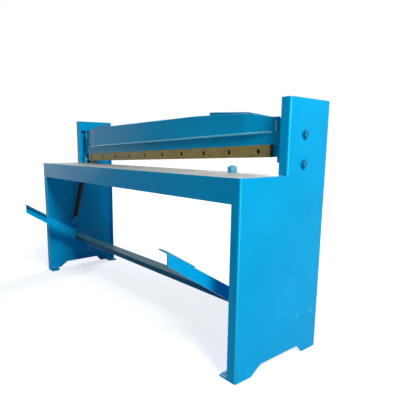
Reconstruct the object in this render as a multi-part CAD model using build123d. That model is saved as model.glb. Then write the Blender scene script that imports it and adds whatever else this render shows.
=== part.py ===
from build123d import *
import math
import os

# Treadle-operated sheet-metal guillotine shear.
# Units are millimetres. X runs along the machine, Y towards its rear, Z up, floor at Z = 0.
# The front faces of the side frames lie at Y = 0 while modelling. The finished set is
# shifted along Y at export, so that its bounding box is centred.

# Overall sizes
frame_half_width = 900.0
frame_depth = 500.0
table_height = 741.6
column_front = 248.0

# Folded side frames
frame_plate = 8.0
flange_width = 42.0
outer_bend = 9.0
inner_bend = 3.0
front_foot_length = 86.0
rear_foot_length = 96.0
arch_height = 35.0
front_arch_run = 54.0
rear_arch_run = 32.0
top_fold_width = 20.0
head_plate = 8.0
head_skirt = 64.0
lip_depth = 17.0
lip_seam_rise = 91.0
lip_seam = 2.0

# Foot pads
pad_length = 38.0
pad_width = 57.0
pad_plate = 8.0
pad_corner = 12.0

# Table and apron
apron_height = 91.0
apron_plate = 8.0
table_plate = 12.0
rib_plate = 8.0
rib_height = 66.0
rib_share = 0.448
bed_bar_thickness = 24.0
bed_bar_short = 4.0

# Blades
blade_side_room = 112.0
lower_blade_thickness = 24.0
lower_blade_height = 50.0
upper_blade_thickness = 20.0
upper_blade_height = 48.5
blade_gap = 1.0
rake = 0.033
blade_opening = 39.7
blade_hole_count = 10
blade_hole_margin = 51.8
blade_hole_shift = -9.9
blade_hole_radius = 6.0
blade_counterbore_radius = 11.0
blade_counterbore_depth = 9.0
blade_hole_drop = 25.0

# Ram beam
beam_side_room = 78.0
carrier_thickness = 40.0
carrier_height = 95.5
carrier_cover = 0.5
beam_height = 111.2
beam_plate = 10.0
beam_bow = 12.0
bend_from_end = 162.0
peak_from_end = 472.0
left_bend_drop = 14.5
right_bend_drop = 7.0
shoulder_length = 27.0
shoulder_drop = 27.0
beam_depth = 74.0
beam_top_drop = 12.0
beam_web_plate = 8.0
crest_plate = 8.0
right_crest_length = 232.0
right_crest_height = 14.0
right_crest_rise = 7.0
left_crest_length = 163.0
left_crest_height = 0.5
left_crest_rise = 10.5
column_rise = 37.6

# Ram guides
rail_width = 30.0
rail_thickness = 40.0
rail_setback = 57.0
rail_below_table = 41.6
guide_play = 0.3
shoe_plate = 16.0
jaw_width = 25.0
jaw_reach = 35.0
jaw_height = 101.0
tab_width = 36.0
tab_height = 64.5
shoe_drop = 8.0

# Guide bolts
bolt_radius = 8.0
bolt_play = 0.3
bolt_head_flats = 24.0
bolt_head_height = 10.0
washer_radius = 15.0
washer_thickness = 3.0
bolt_length = 38.0
bolt_below_top = 129.6
bolt_pitch = 111.0

# Treadle
pivot_from_rear = 159.0
treadle_pivot_z = 137.0
arm_side_room = 158.0
arm_plate = 8.0
arm_front_reach = 180.0
arm_front_z = 461.0
arm_front_height = 40.5
arm_mid_height = 50.0
arm_mid_run = 231.0
arm_rear_radius = 23.0
foot_pad_width = 45.0
foot_pad_length = 140.0
foot_pad_plate = 5.0
foot_pad_overhang = 12.0
cross_leg_top = 65.0
cross_leg_front = 26.0
cross_plate = 5.0
cross_run = 211.0
cross_rise = 120.5

# Treadle pivot brackets
bracket_plate = 10.0
bracket_ahead = 36.0
bracket_behind = 124.0
bracket_below = 52.0
bracket_above = 88.0
bracket_corner = 15.0
bracket_slope = 50.0
boss_radius = 24.0
boss_gap = 4.0
pivot_radius = 12.5
running_play = 0.06
pivot_head_flats = 30.0
pivot_head_height = 12.0
pivot_head_gap = 2.0

# Pull rods
rod_side_room = 48.0
rod_radius = 15.0
eye_thickness = 16.0
rod_pin_radius = 10.0
upper_eye_rise = 17.0
upper_eye_radius = 17.0
upper_eye_reach = 34.0
lower_eye_run = 162.3
lower_eye_rise = 155.0
lower_eye_radius = 21.0
lower_eye_reach = 67.0
open_pivot_play = 3.0
pin_head_radius = 14.0
pin_head_height = 5.0
lug_plate = 8.0
lug_width = 40.0
lug_foot_drop = 46.0
lug_tube_radius = 14.0
eye_gap = 6.0

# Clamp nut on the table
clamp_from_side = 267.0
clamp_from_rear = 21.0
clamp_washer_radius = 21.0
clamp_washer_height = 4.0
clamp_nut_flats = 33.0
clamp_nut_height = 20.0
clamp_stud_radius = 11.0
clamp_stud_height = 33.0
clamp_short = 2.0

# Places across the machine
web_inner = frame_half_width - frame_plate
flange_inner = frame_half_width - flange_width
table_end = frame_half_width - top_fold_width
rib_offset = rib_share * frame_half_width
blade_half_length = frame_half_width - blade_side_room
bed_bar_half_length = blade_half_length - bed_bar_short
blade_hole_pitch = 2 * (blade_half_length - blade_hole_margin) / (blade_hole_count - 1)
beam_half_length = frame_half_width - beam_side_room
beam_bend = beam_half_length - bend_from_end
shoulder_start = beam_half_length - shoulder_length
beam_peak = beam_half_length - peak_from_end
arm_outer = frame_half_width - arm_side_room
arm_inner = arm_outer - arm_plate
rod_centre = frame_half_width - rod_side_room
eye_inner = rod_centre - eye_thickness / 2
eye_outer = rod_centre + eye_thickness / 2
clamp_x = frame_half_width - clamp_from_side

# Places from front to rear
table_rear = column_front + frame_plate
blade_plane = table_rear + lower_blade_thickness + blade_gap
blade_back = blade_plane + upper_blade_thickness
carrier_back = blade_plane + carrier_thickness
rail_centre = blade_plane + rail_setback
shoe_front = blade_plane + blade_gap
treadle_pivot_y = frame_depth - pivot_from_rear
arm_front_y = -arm_front_reach
arm_mid_y = treadle_pivot_y - arm_mid_run
cross_y = treadle_pivot_y - cross_run
upper_eye_y = shoe_front + tab_width / 2
lower_eye_y = treadle_pivot_y - lower_eye_run
clamp_y = table_rear - clamp_from_rear

# Heights
upper_blade_bottom = table_height + blade_opening
beam_top = upper_blade_bottom + carrier_height + beam_height
beam_shoulder = beam_top - shoulder_drop
left_bend_top = beam_top - left_bend_drop
right_bend_top = beam_top - right_bend_drop
column_top = beam_top + column_rise
head_bottom = column_top - head_skirt
rail_bottom = table_height - rail_below_table
jaw_top = beam_shoulder - shoe_drop
jaw_bottom = jaw_top - jaw_height
tab_bottom = jaw_bottom - tab_height
upper_eye_z = tab_bottom + upper_eye_rise
upper_bolt_height = column_top - bolt_below_top
lower_bolt_height = upper_bolt_height - bolt_pitch
cross_z = treadle_pivot_z + cross_rise
lower_eye_z = treadle_pivot_z + lower_eye_rise


def box(x0, x1, y0, y1, z0, z1):
    solid = Box(x1 - x0, y1 - y0, z1 - z0, align=(Align.MIN, Align.MIN, Align.MIN))
    return Pos(x0, y0, z0) * solid


def slab_x(points, x0, x1):
    """Polygon given as (y, z) points, carried along X."""
    face = Plane.YZ.offset(x0) * Polygon(*points, align=None)
    return extrude(face, x1 - x0, dir=(1, 0, 0))


def slab_y(points, y0, y1):
    """Polygon given as (x, z) points, carried along Y."""
    face = Plane.XZ.offset(-y0) * Polygon(*points, align=None)
    return extrude(face, y1 - y0, dir=(0, 1, 0))


def slab_z(points, z0, z1):
    """Polygon given as (x, y) points, carried along Z."""
    face = Plane.XY.offset(z0) * Polygon(*points, align=None)
    return extrude(face, z1 - z0, dir=(0, 0, 1))


def rod_x(y, z, radius, x0, x1):
    return Pos(x0, y, z) * Rot(0, 90, 0) * Cylinder(
        radius, x1 - x0, align=(Align.CENTER, Align.CENTER, Align.MIN)
    )


def hex_x(y, z, flats, x0, x1):
    face = Plane.YZ.offset(x0) * Pos(y, z) * RegularPolygon(flats / 2, 6, major_radius=False)
    return extrude(face, x1 - x0, dir=(1, 0, 0))


def mirrored(solid):
    return mirror(solid, about=Plane.YZ)


def rounded_plan(x0, x1, y0, y1, radius):
    """Rectangle in plan whose two corners at x1 are rounded."""
    face = Pos(x0, y0) * Rectangle(x1 - x0, y1 - y0, align=(Align.MIN, Align.MIN))
    corners = [v for v in face.vertices() if abs(v.X - x1) < 0.01]
    return fillet(corners, radius)


def folded_plate(y0, y1, z0, z1):
    """Plate with its front and rear edges folded inward, standing from z0 to z1."""
    t = frame_plate
    outer = rounded_plan(flange_inner, frame_half_width, y0, y1, outer_bend)
    inner = rounded_plan(flange_inner - 5, web_inner, y0 + t, y1 - t, inner_bend)
    return Pos(0, 0, z0) * extrude(outer - inner, z1 - z0)


def top_fold():
    """Level fold of the frame plate that carries the end of the table."""
    t = frame_plate
    return box(table_end, web_inner + 1, t, table_rear, table_height - t, table_height)


def column_lip():
    """Lip turned back from the column's front fold, beside the guide slot."""
    x0 = flange_inner
    x1 = flange_inner + frame_plate
    y0 = column_front + frame_plate
    y1 = column_front + lip_depth
    seam = table_height + lip_seam_rise
    lower = box(x0, x1, y0, y1, table_height, seam)
    upper = box(x0, x1, y0, y1, seam + lip_seam, head_bottom)
    return lower + upper


def side_frame():
    """Right frame: one plate folded at its front and rear, with an arched foot line."""
    frame = folded_plate(0, frame_depth, 0, table_height)
    frame += folded_plate(column_front, frame_depth, table_height, column_top)
    frame += column_lip()
    arch = [
        (front_foot_length, 0),
        (front_foot_length + front_arch_run, arch_height),
        (frame_depth - rear_foot_length - rear_arch_run, arch_height),
        (frame_depth - rear_foot_length, 0),
        (frame_depth - rear_foot_length, -5),
        (front_foot_length, -5),
    ]
    frame -= slab_x(arch, flange_inner - 5, frame_half_width + 5)
    frame += top_fold()
    for z in (upper_bolt_height, lower_bolt_height):
        frame -= rod_x(rail_centre, z, bolt_radius + bolt_play, web_inner - 1, frame_half_width + 1)
    return frame


def column_head():
    """Plate folded down over the column's top, closing the guide slot above the ram."""
    t = frame_plate
    y0 = column_front + t
    y1 = frame_depth - t
    plan = rounded_plan(flange_inner, web_inner, y0, y1, inner_bend)
    top = Pos(0, 0, column_top - head_plate) * extrude(plan, head_plate)
    skirt = box(flange_inner, flange_inner + head_plate, y0, y1, head_bottom, column_top)
    return top + skirt


def foot_pad(rear):
    t = frame_plate
    inner = flange_inner - pad_length
    points = [
        (inner, 0),
        (flange_inner, 0),
        (flange_inner, t),
        (web_inner - inner_bend, t),
        (web_inner, t + inner_bend),
        (web_inner, pad_width),
        (inner + pad_corner, pad_width),
        (inner, pad_width - pad_corner),
    ]
    if rear:
        points = [(x, frame_depth - y) for x, y in points]
    return slab_z(points, 0, pad_plate)


def front_apron():
    apron = box(
        -flange_inner,
        flange_inner,
        0,
        apron_plate,
        table_height - apron_height,
        table_height,
    )
    return apron


def table_top():
    top = box(
        -table_end,
        table_end,
        apron_plate,
        table_rear,
        table_height - table_plate,
        table_height,
    )
    stud_hole = Pos(clamp_x, clamp_y, table_height - table_plate / 2) * Cylinder(
        clamp_stud_radius + bolt_play, table_plate + 2
    )
    return top - stud_hole


def table_rib(x):
    top = table_height - table_plate
    return box(
        x - rib_plate / 2,
        x + rib_plate / 2,
        apron_plate,
        table_rear - bed_bar_thickness,
        top - rib_height,
        top,
    )


def bed_bar():
    top = table_height - table_plate
    return box(
        -bed_bar_half_length,
        bed_bar_half_length,
        table_rear - bed_bar_thickness,
        table_rear,
        top - rib_height,
        top,
    )


def lower_blade():
    blade = box(
        -blade_half_length,
        blade_half_length,
        table_rear,
        table_rear + lower_blade_thickness,
        table_height - lower_blade_height,
        table_height,
    )
    return blade


def table_clamp():
    base = Pos(clamp_x, clamp_y, table_height)
    along = (Align.CENTER, Align.CENTER, Align.MIN)
    washer = base * Cylinder(clamp_washer_radius, clamp_washer_height, align=along)
    nut = base * Pos(0, 0, clamp_washer_height) * extrude(
        RegularPolygon(clamp_nut_flats / 2, 6, major_radius=False), clamp_nut_height
    )
    stud = base * Pos(0, 0, clamp_short - table_plate) * Cylinder(
        clamp_stud_radius, table_plate - clamp_short + clamp_stud_height, align=along
    )
    top_edges = stud.edges().sort_by(Axis.Z)[-1]
    stud = chamfer(top_edges, 2)
    return washer + nut + stud


def guide_rail():
    half = rail_width / 2
    rail = box(
        web_inner - rail_thickness,
        web_inner,
        rail_centre - half,
        rail_centre + half,
        rail_bottom,
        head_bottom,
    )
    reach = bolt_length - frame_plate - washer_thickness + 2
    for z in (upper_bolt_height, lower_bolt_height):
        rail -= rod_x(
            rail_centre, z, bolt_radius + bolt_play, web_inner - reach, web_inner + 1
        )
    return rail


def guide_bolt(z):
    face = frame_half_width
    washer = rod_x(rail_centre, z, washer_radius, face, face + washer_thickness)
    head_start = face + washer_thickness
    head = hex_x(rail_centre, z, bolt_head_flats, head_start, head_start + bolt_head_height)
    shank = rod_x(rail_centre, z, bolt_radius, head_start - bolt_length, head_start)
    return washer + head + shank


def pivot_bracket():
    y = treadle_pivot_y
    z = treadle_pivot_z
    front = y - bracket_ahead
    rear = y + bracket_behind
    low = z - bracket_below
    high = z + bracket_above
    lug = [
        (front, low + bracket_corner),
        (front + bracket_corner, low),
        (rear - bracket_slope, low),
        (rear, low + bracket_slope),
        (rear, high),
        (front, high),
    ]
    plate = slab_x(lug, web_inner - bracket_plate, web_inner)
    boss_end = arm_outer + boss_gap
    boss = rod_x(y, z, boss_radius, boss_end, web_inner - bracket_plate)
    bore = rod_x(y, z, pivot_radius + bolt_play, boss_end - 1, web_inner - bracket_plate)
    return plate + boss - bore


def pivot_pin():
    y = treadle_pivot_y
    z = treadle_pivot_z
    head_end = arm_inner - pivot_head_gap
    pin = rod_x(y, z, pivot_radius, head_end, web_inner - bracket_plate)
    head = hex_x(y, z, pivot_head_flats, head_end - pivot_head_height, head_end)
    return pin + head


def beam_outline():
    """Front view of the ram: raked lower edge, peaked top and sloping shoulders."""
    end = beam_half_length
    points = [
        (-end, beam_bottom(-end)),
        (end, beam_bottom(end)),
        (end, beam_shoulder),
        (shoulder_start, beam_shoulder),
        (beam_bend, right_bend_top),
        (beam_peak, beam_top),
        (-beam_bend, left_bend_top),
        (-shoulder_start, beam_shoulder),
        (-end, beam_shoulder),
    ]
    return points


def blade_bottom(x):
    return upper_blade_bottom + rake * x


def beam_bottom(x):
    return blade_bottom(x) + carrier_height


def beam_front():
    """Folded front plate, bowed forward between its two bends, with a lower return."""
    front = blade_plane - beam_bow
    plan = [
        (-beam_half_length, blade_plane),
        (-shoulder_start, blade_plane),
        (-beam_bend, front),
        (beam_bend, front),
        (shoulder_start, blade_plane),
        (beam_half_length, blade_plane),
        (beam_half_length, blade_plane + beam_plate),
        (shoulder_start, blade_plane + beam_plate),
        (beam_bend, front + beam_plate),
        (-beam_bend, front + beam_plate),
        (-shoulder_start, blade_plane + beam_plate),
        (-beam_half_length, blade_plane + beam_plate),
    ]
    low = beam_bottom(-beam_half_length) - 1
    plate = slab_z(plan, low, beam_top + 1)
    plate &= slab_y(beam_outline(), front - 1, blade_plane + 2 * beam_plate)
    back = blade_plane + beam_depth - beam_plate
    full = [
        (-beam_half_length, blade_plane + 1),
        (-shoulder_start, blade_plane + 1),
        (-beam_bend, front + 1),
        (beam_bend, front + 1),
        (shoulder_start, blade_plane + 1),
        (beam_half_length, blade_plane + 1),
        (beam_half_length, back),
        (-beam_half_length, back),
    ]
    end = beam_half_length
    band = [
        (-end, beam_bottom(-end)),
        (end, beam_bottom(end)),
        (end, beam_bottom(end) + beam_plate),
        (-end, beam_bottom(-end) + beam_plate),
    ]
    sole = slab_z(full, low, beam_top) & slab_y(band, front - 1, back + 1)
    return plate + sole


def beam_rear():
    back = blade_plane + beam_depth
    return slab_y(beam_outline(), back - beam_plate, back)


def beam_web():
    """Level plate closing the top of the ram between its front and rear plates."""
    front = blade_plane + beam_plate
    back = blade_plane + beam_depth - beam_plate
    high = beam_shoulder - beam_top_drop
    return box(-beam_half_length, beam_half_length, front, back, high - beam_web_plate, high)


def crest(length, inner_top, bend_top):
    """Stiffening strip standing behind the ram's top edge, down to its shoulder."""
    low = beam_shoulder - beam_top_drop
    inner = beam_bend - length
    points = [
        (inner, low),
        (inner, inner_top),
        (beam_bend, bend_top),
        (shoulder_start, beam_shoulder),
        (shoulder_start, low),
    ]
    return slab_y(points, blade_plane + beam_plate, blade_plane + beam_plate + crest_plate)


def blade_carrier():
    end = beam_half_length
    back_profile = [
        (-end, blade_bottom(-end) + carrier_cover),
        (end, blade_bottom(end) + carrier_cover),
        (end, beam_bottom(end)),
        (-end, beam_bottom(-end)),
    ]
    back = slab_y(back_profile, blade_back, carrier_back)
    h = upper_blade_height
    front_profile = [
        (-end, blade_bottom(-end) + h),
        (end, blade_bottom(end) + h),
        (end, beam_bottom(end)),
        (-end, beam_bottom(-end)),
    ]
    front = slab_y(front_profile, blade_plane, blade_back + 1)
    return front + back


def upper_blade():
    end = blade_half_length
    h = upper_blade_height
    profile = [
        (-end, blade_bottom(-end)),
        (end, blade_bottom(end)),
        (end, blade_bottom(end) + h),
        (-end, blade_bottom(-end) + h),
    ]
    blade = slab_y(profile, blade_plane, blade_back)
    first = blade_hole_shift - blade_hole_pitch * (blade_hole_count - 1) / 2
    for i in range(blade_hole_count):
        x = first + i * blade_hole_pitch
        z = blade_bottom(x) + upper_blade_height - blade_hole_drop
        place = Pos(x, blade_plane - 1, z) * Rot(-90, 0, 0)
        along = (Align.CENTER, Align.CENTER, Align.MIN)
        blade -= place * Cylinder(blade_counterbore_radius, blade_counterbore_depth + 1, align=along)
        blade -= place * Cylinder(blade_hole_radius, upper_blade_thickness + 2, align=along)
    return blade


def ram_shoe():
    """End plate of the ram with two jaws round the guide rail and a tab for the pull rod."""
    x0 = beam_half_length
    x1 = x0 + shoe_plate
    half = rail_width / 2
    jaw_front = rail_centre - half - guide_play - jaw_width
    jaw_rear = rail_centre + half + guide_play + jaw_width
    plate = box(x0, x1, shoe_front, jaw_rear, jaw_bottom, jaw_top)
    front_jaw = box(x1 - 1, x1 + jaw_reach, jaw_front, jaw_front + jaw_width, jaw_bottom, jaw_top)
    rear_jaw = box(x1 - 1, x1 + jaw_reach, jaw_rear - jaw_width, jaw_rear, jaw_bottom, jaw_top)
    tab = box(x0, x1, shoe_front, shoe_front + tab_width, tab_bottom, jaw_bottom + 1)
    shoe = plate + front_jaw + rear_jaw + tab
    return shoe - rod_x(upper_eye_y, upper_eye_z, rod_pin_radius + bolt_play, x0 - 1, x1 + 1)


def upper_pin():
    x0 = beam_half_length
    pin = rod_x(upper_eye_y, upper_eye_z, rod_pin_radius, x0, eye_outer + 2)
    head = rod_x(
        upper_eye_y, upper_eye_z, pin_head_radius, eye_outer + 2, eye_outer + 2 + pin_head_height
    )
    return pin + head


def arm_centre_z(y):
    slope = (arm_front_z - treadle_pivot_z) / (arm_front_y - treadle_pivot_y)
    return treadle_pivot_z + slope * (y - treadle_pivot_y)


def arm_angle():
    rise = arm_front_z - treadle_pivot_z
    return math.atan2(rise, treadle_pivot_y - arm_front_y)


def treadle_arm():
    """Right arm: tapered plate on edge, from the rear pivot to the front pedal."""
    a = arm_angle()
    up = (math.sin(a), math.cos(a))
    front_half = arm_front_height / 2 / math.cos(a)
    mid = (arm_mid_y, arm_centre_z(arm_mid_y))
    half = arm_mid_height / 2
    rear = (treadle_pivot_y, treadle_pivot_z)
    points = [
        (arm_front_y, arm_front_z - front_half),
        (mid[0] - half * up[0], mid[1] - half * up[1]),
        (rear[0] - arm_rear_radius * up[0], rear[1] - arm_rear_radius * up[1]),
        (rear[0] + arm_rear_radius * up[0], rear[1] + arm_rear_radius * up[1]),
        (mid[0] + half * up[0], mid[1] + half * up[1]),
        (arm_front_y, arm_front_z + front_half),
    ]
    arm = slab_x(points, arm_inner, arm_outer)
    arm += rod_x(rear[0], rear[1], arm_rear_radius, arm_inner, arm_outer)
    arm -= rod_x(rear[0], rear[1], pivot_radius + running_play, arm_inner - 1, arm_outer + 1)
    return arm


def foot_plate(x0, x1):
    """Pedal plate lying on the arm's upper front edge."""
    a = arm_angle()
    front_half = arm_front_height / 2 / math.cos(a)
    up = (math.sin(a), math.cos(a))
    mid_y = arm_mid_y + arm_mid_height / 2 * up[0]
    mid_z = arm_centre_z(arm_mid_y) + arm_mid_height / 2 * up[1]
    start = (arm_front_y, arm_front_z + front_half)
    run = math.hypot(mid_y - start[0], mid_z - start[1])
    d = ((mid_y - start[0]) / run, (mid_z - start[1]) / run)
    n = (-d[1], d[0])
    p0 = (start[0] - foot_pad_overhang * d[0], start[1] - foot_pad_overhang * d[1])
    p1 = (start[0] + foot_pad_length * d[0], start[1] + foot_pad_length * d[1])
    t = foot_pad_plate
    points = [
        p0,
        p1,
        (p1[0] + t * n[0], p1[1] + t * n[1]),
        (p0[0] + t * n[0], p0[1] + t * n[1]),
    ]
    return slab_x(points, x0, x1)


def cross_bar():
    t = cross_plate
    points = [
        (cross_y, cross_z - cross_leg_front),
        (cross_y + t, cross_z - cross_leg_front),
        (cross_y + t, cross_z - t),
        (cross_y + cross_leg_top, cross_z - t),
        (cross_y + cross_leg_top, cross_z),
        (cross_y, cross_z),
    ]
    return slab_x(points, -arm_inner, arm_inner)


def rod_lug():
    """Upright plate on the arm's outer face, with a tube and a pin for the pull rod."""
    y = lower_eye_y
    z = lower_eye_z
    half = lug_width / 2
    plate_end = arm_outer + lug_plate
    plate = box(arm_outer, plate_end, y - half, y + half, z - lug_foot_drop, z)
    plate += rod_x(y, z, half, arm_outer, plate_end)
    tube = rod_x(y, z, lug_tube_radius, plate_end - 1, eye_inner - eye_gap)
    pin = rod_x(y, z, rod_pin_radius, eye_inner - eye_gap - 1, eye_outer + eye_gap)
    cap_end = eye_outer + eye_gap + pin_head_height
    cap = rod_x(y, z, rod_pin_radius + 4, eye_outer + eye_gap, cap_end)
    return plate + tube + pin + cap


def pull_rod():
    """Round rod between two flat eyes. The lower hole is wide, where the linkage opens."""
    dy = upper_eye_y - lower_eye_y
    dz = upper_eye_z - lower_eye_z
    length = math.hypot(dy, dz)
    u = (dy / length, dz / length)
    x0 = rod_centre - eye_thickness / 2
    x1 = rod_centre + eye_thickness / 2
    start = lower_eye_reach - 10
    end = length - upper_eye_reach + 10
    tilt = math.degrees(math.atan2(dy, dz))
    place = Pos(rod_centre, lower_eye_y + start * u[0], lower_eye_z + start * u[1])
    bar = place * Rot(-tilt, 0, 0) * Cylinder(
        rod_radius, end - start, align=(Align.CENTER, Align.CENTER, Align.MIN)
    )
    n = (u[1], -u[0])

    def strap(y, z, reach, radius, sense):
        p = (y + sense * reach * u[0], z + sense * reach * u[1])
        points = [
            (y + radius * n[0], z + radius * n[1]),
            (p[0] + radius * n[0], p[1] + radius * n[1]),
            (p[0] - radius * n[0], p[1] - radius * n[1]),
            (y - radius * n[0], z - radius * n[1]),
        ]
        return slab_x(points, x0, x1) + rod_x(y, z, radius, x0, x1)

    rod = bar + strap(lower_eye_y, lower_eye_z, lower_eye_reach, lower_eye_radius, 1)
    rod += strap(upper_eye_y, upper_eye_z, upper_eye_reach, upper_eye_radius, -1)
    rod -= rod_x(upper_eye_y, upper_eye_z, rod_pin_radius + running_play, x0 - 1, x1 + 1)
    rod -= rod_x(lower_eye_y, lower_eye_z, rod_pin_radius + open_pivot_play, x0 - 1, x1 + 1)
    return rod


def build_nodes():
    nodes = {}

    def pair(name, solid):
        nodes["right_" + name] = solid
        nodes["left_" + name] = mirrored(solid)

    pair("side_frame", side_frame())
    pair("column_head", column_head())
    pair("front_foot_pad", foot_pad(False))
    pair("rear_foot_pad", foot_pad(True))
    nodes["front_apron"] = front_apron()
    nodes["table_top"] = table_top()
    nodes["left_table_rib"] = table_rib(-rib_offset)
    nodes["right_table_rib"] = table_rib(rib_offset)
    nodes["bed_bar"] = bed_bar()
    nodes["lower_blade"] = lower_blade()
    nodes["table_clamp"] = table_clamp()
    pair("guide_rail", guide_rail())
    pair("upper_guide_bolt", guide_bolt(upper_bolt_height))
    pair("lower_guide_bolt", guide_bolt(lower_bolt_height))
    pair("pivot_bracket", pivot_bracket())
    pair("pivot_pin", pivot_pin())
    nodes["beam_front"] = beam_front()
    nodes["beam_rear"] = beam_rear()
    nodes["beam_web"] = beam_web()
    right_top = beam_top + right_crest_height
    left_top = beam_top + left_crest_height
    nodes["right_crest"] = crest(
        right_crest_length, right_top, right_bend_top + right_crest_rise
    )
    nodes["left_crest"] = mirrored(
        crest(left_crest_length, left_top, left_bend_top + left_crest_rise)
    )
    nodes["blade_carrier"] = blade_carrier()
    nodes["upper_blade"] = upper_blade()
    pair("ram_shoe", ram_shoe())
    pair("upper_rod_pin", upper_pin())
    pair("treadle_arm", treadle_arm())
    pair("foot_plate", foot_plate(arm_outer - foot_pad_width, arm_outer))
    nodes["cross_bar"] = cross_bar()
    pair("rod_lug", rod_lug())
    pair("pull_rod", pull_rod())
    return nodes


def main():
    nodes = build_nodes()
    lows = []
    highs = []
    for solid in nodes.values():
        bounds = solid.bounding_box()
        lows.append(bounds.min.Y)
        highs.append(bounds.max.Y)
    shift = -(min(lows) + max(highs)) / 2
    os.makedirs("parts", exist_ok=True)
    for name, solid in nodes.items():
        moved = Pos(0, shift, 0) * solid
        export_step(moved, "parts/" + name + ".step")
    print("nodes", len(nodes), "shift", round(shift, 3))


main()
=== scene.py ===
import math

import bmesh
import bpy
import numpy as np
from mathutils import Euler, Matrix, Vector


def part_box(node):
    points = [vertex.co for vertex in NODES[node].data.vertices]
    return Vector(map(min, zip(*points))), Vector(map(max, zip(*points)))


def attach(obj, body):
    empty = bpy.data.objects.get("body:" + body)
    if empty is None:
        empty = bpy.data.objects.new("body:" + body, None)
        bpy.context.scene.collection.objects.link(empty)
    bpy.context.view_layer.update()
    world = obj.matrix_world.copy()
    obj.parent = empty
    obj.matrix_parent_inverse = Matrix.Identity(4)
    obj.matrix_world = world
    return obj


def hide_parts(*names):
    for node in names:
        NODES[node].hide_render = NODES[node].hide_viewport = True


bl_info = {
    "name": "Treadle Shear Looks",
    "version": (1, 0, 0),
    "blender": (4, 5, 0),
    "location": "View3D > Sidebar > Treadle Shear",
    "description": "Dresses the packed frame of a treadle sheet-metal shear",
    "category": "Add Mesh",
}

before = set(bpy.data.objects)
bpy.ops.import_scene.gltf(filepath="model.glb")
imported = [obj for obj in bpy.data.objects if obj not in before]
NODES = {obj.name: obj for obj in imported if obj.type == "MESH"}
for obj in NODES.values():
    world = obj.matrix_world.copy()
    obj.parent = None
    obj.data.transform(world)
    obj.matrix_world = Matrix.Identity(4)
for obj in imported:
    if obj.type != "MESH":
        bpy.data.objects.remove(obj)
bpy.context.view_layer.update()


# ------------------------ places read from the frame


def low(node):
    """Lowest x, y and z of a CAD node, in metres."""
    return np.array(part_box(node)[0])


def high(node):
    """Highest x, y and z of a CAD node, in metres."""
    return np.array(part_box(node)[1])


def span(node):
    return low(node), high(node)


def middle(node):
    return (low(node) + high(node)) / 2


PLATE_OUT = high("right_side_frame")[0]
WEB_IN = high("right_guide_rail")[0]
FRONT_Y = low("right_side_frame")[1]
REAR_Y = high("right_side_frame")[1]
FLANGE_IN = low("right_column_head")[0]
TABLE_Z = high("table_top")[2]
TABLE_UNDER = low("table_top")[2]
BLADE_FACE = low("upper_blade")[1]
BLADE_END = high("upper_blade")[0]
BEAM_END = high("beam_front")[0]
BEAM_BOW = low("beam_front")[1]
ARM_OUT = high("right_treadle_arm")[0]
ARM_IN = low("right_treadle_arm")[0]
ROD_X = middle("right_pull_rod")[0]

# Thickness of the frame's plates.
PLATE = 0.008
# Rise of the upper blade and of the ram's lower edge, per metre of X.
RAKE = 0.033
# The ram's front plate is bowed out up to BEND_X and is back in the blade's plane at SHOULDER_X.
BEND_X = 0.660
SHOULDER_X = 0.795
# Half the row of blade holes, and the row's middle.
HOLE_HALF = 0.7362
HOLE_SHIFT = -0.0099
# y and z of the treadle's pivot and of the pull rods' eyes.
PIVOT = (FRONT_Y + 0.341, 0.137)
LOWER_EYE = (FRONT_Y + 0.1787, 0.292)
UPPER_EYE = (FRONT_Y + 0.300, 0.804)

SIDES = (("left", -1.0), ("right", 1.0))
TO_RIGHT = (1.0, 0.0, 0.0)
TO_FRONT = (0.0, -1.0, 0.0)
UPWARD = (0.0, 0.0, 1.0)
# How far a head sinks into what it sits on.
SEAT = 0.0002
# Height of weld ripples and radius of a light bead, as shares of an ordinary bead's radius.
WELD_RIPPLE = 0.15
LIGHT_BEAD = 0.85


# ------------------------ settings


class PaintSettings(bpy.types.PropertyGroup):
    colour: bpy.props.FloatVectorProperty(
        name="Enamel colour",
        description="Main colour of the machine's blue enamel",
        subtype="COLOR",
        size=3,
        min=0.0,
        max=1.0,
        default=(0.0005, 0.38, 0.785),
    )
    rubbed: bpy.props.FloatVectorProperty(
        name="Rubbed edge colour",
        description="Colour of the enamel where edges are rubbed",
        subtype="COLOR",
        size=3,
        min=0.0,
        max=1.0,
        default=(0.008, 0.43, 0.78),
    )
    edge_radius: bpy.props.FloatProperty(
        name="Edge radius",
        description="Rounding of the painted plate edges",
        subtype="DISTANCE",
        unit="LENGTH",
        min=0.0,
        default=0.0012,
    )


class WeldSettings(bpy.types.PropertyGroup):
    bead_radius: bpy.props.FloatProperty(
        name="Bead radius",
        description="Half width of an ordinary weld bead",
        subtype="DISTANCE",
        unit="LENGTH",
        min=0.001,
        default=0.0032,
    )
    ram_bead_radius: bpy.props.FloatProperty(
        name="Ram bead radius",
        description="Half width of the long bead along the ram's lower edge",
        subtype="DISTANCE",
        unit="LENGTH",
        min=0.001,
        default=0.0044,
    )
    ripple_pitch: bpy.props.FloatProperty(
        name="Ripple pitch",
        description="Distance between two ripples of a weld bead",
        subtype="DISTANCE",
        unit="LENGTH",
        min=0.001,
        default=0.007,
    )


class FastenerSettings(bpy.types.PropertyGroup):
    hex_flats: bpy.props.FloatProperty(
        name="Hexagon across flats",
        description="Width across flats of the guide bolts",
        subtype="DISTANCE",
        unit="LENGTH",
        min=0.005,
        default=0.026,
    )
    blade_screws: bpy.props.IntProperty(
        name="Blade screws",
        description="Number of screws that hold the upper blade",
        min=2,
        default=10,
    )
    bed_screws: bpy.props.IntProperty(
        name="Lower blade screws",
        description="Number of screws that hold the lower blade to the bed bar",
        min=2,
        default=9,
    )


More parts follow.
